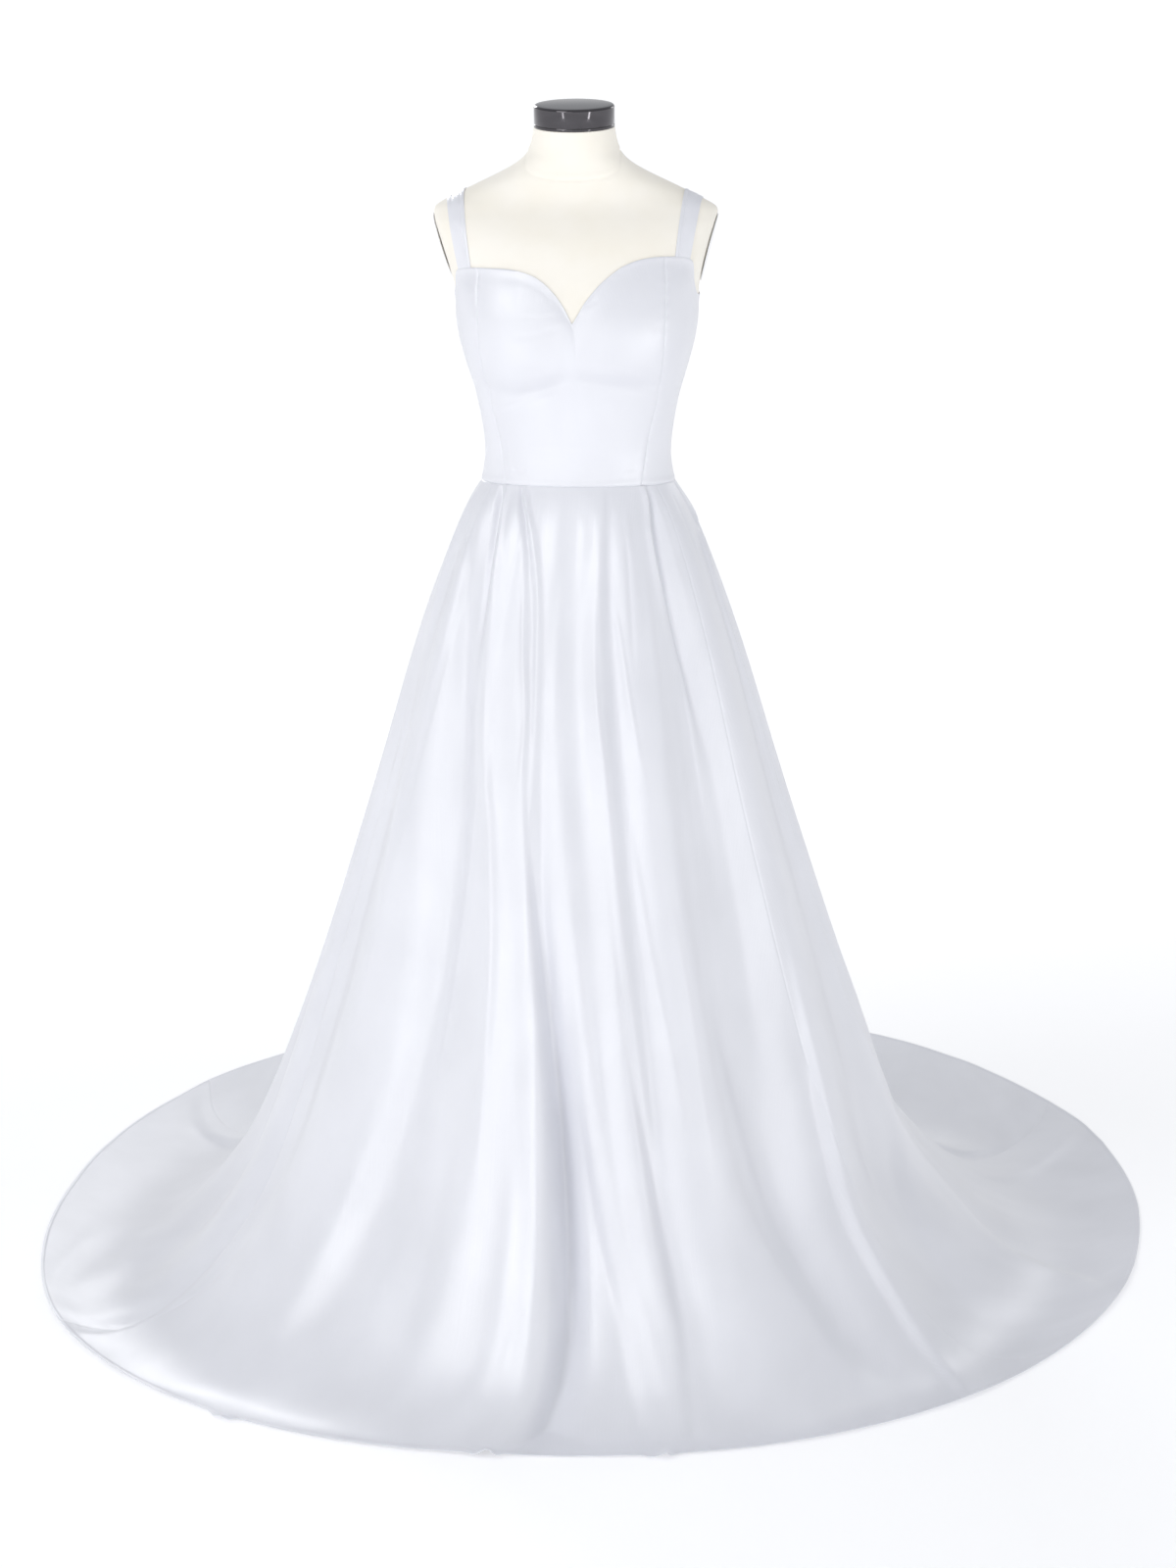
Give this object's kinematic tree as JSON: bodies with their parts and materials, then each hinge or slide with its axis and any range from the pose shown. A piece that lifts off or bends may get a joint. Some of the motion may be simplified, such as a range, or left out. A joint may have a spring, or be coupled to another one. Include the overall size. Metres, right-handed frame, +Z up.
{
  "type": "wedding dress on a dress form",
  "caption": "Satin wedding dress with a sweetheart neckline, shoulder straps and a full skirt with a round train, standing on a limbless dress form",
  "frame": {"origin": "on the floor, at the middle of the stand's base under the form's pole", "axes": "+Z up; the front of the dress faces -Y and the train runs to +Y; +X is the wearer's left"},
  "size_m": [1.5604, 1.9856, 1.5799],
  "materials": {
    "satin": "satin",
    "form_cover": "matt woven cover",
    "form_steel": "brushed",
    "stand_enamel": "black enamel",
    "zip_metal": "white enamel"
  },
  "bodies": {
    "dress_on_form": {"bodice_front": "satin", "bodice_side_front_left": "satin", "bodice_side_front_right": "satin", "bodice_side_back_left": "satin", "bodice_side_back_right": "satin", "bodice_back_left": "satin", "bodice_back_right": "satin", "strap_left": "satin", "strap_right": "satin", "skirt_front": "satin", "skirt_side_left": "satin", "skirt_side_right": "satin", "skirt_back_left": "satin", "skirt_back_right": "satin", "form_torso": "form_cover", "form_neck_cap": "form_steel", "form_armplate_left": "form_steel", "form_armplate_right": "form_steel", "form_pole": "form_steel", "form_base": "stand_enamel", "zip_slider": "zip_metal"},
    "zip_pull_tab": {"zip_pull": "zip_metal"}
  },
  "joints": [
    {"name": "pull_swing", "type": "hinge", "parent": "dress_on_form", "child": "zip_pull_tab", "pos_m": [0, 0.1121, 1.2625], "axis": [1, 0, 0], "range_deg": [0, 150]}
  ]
}
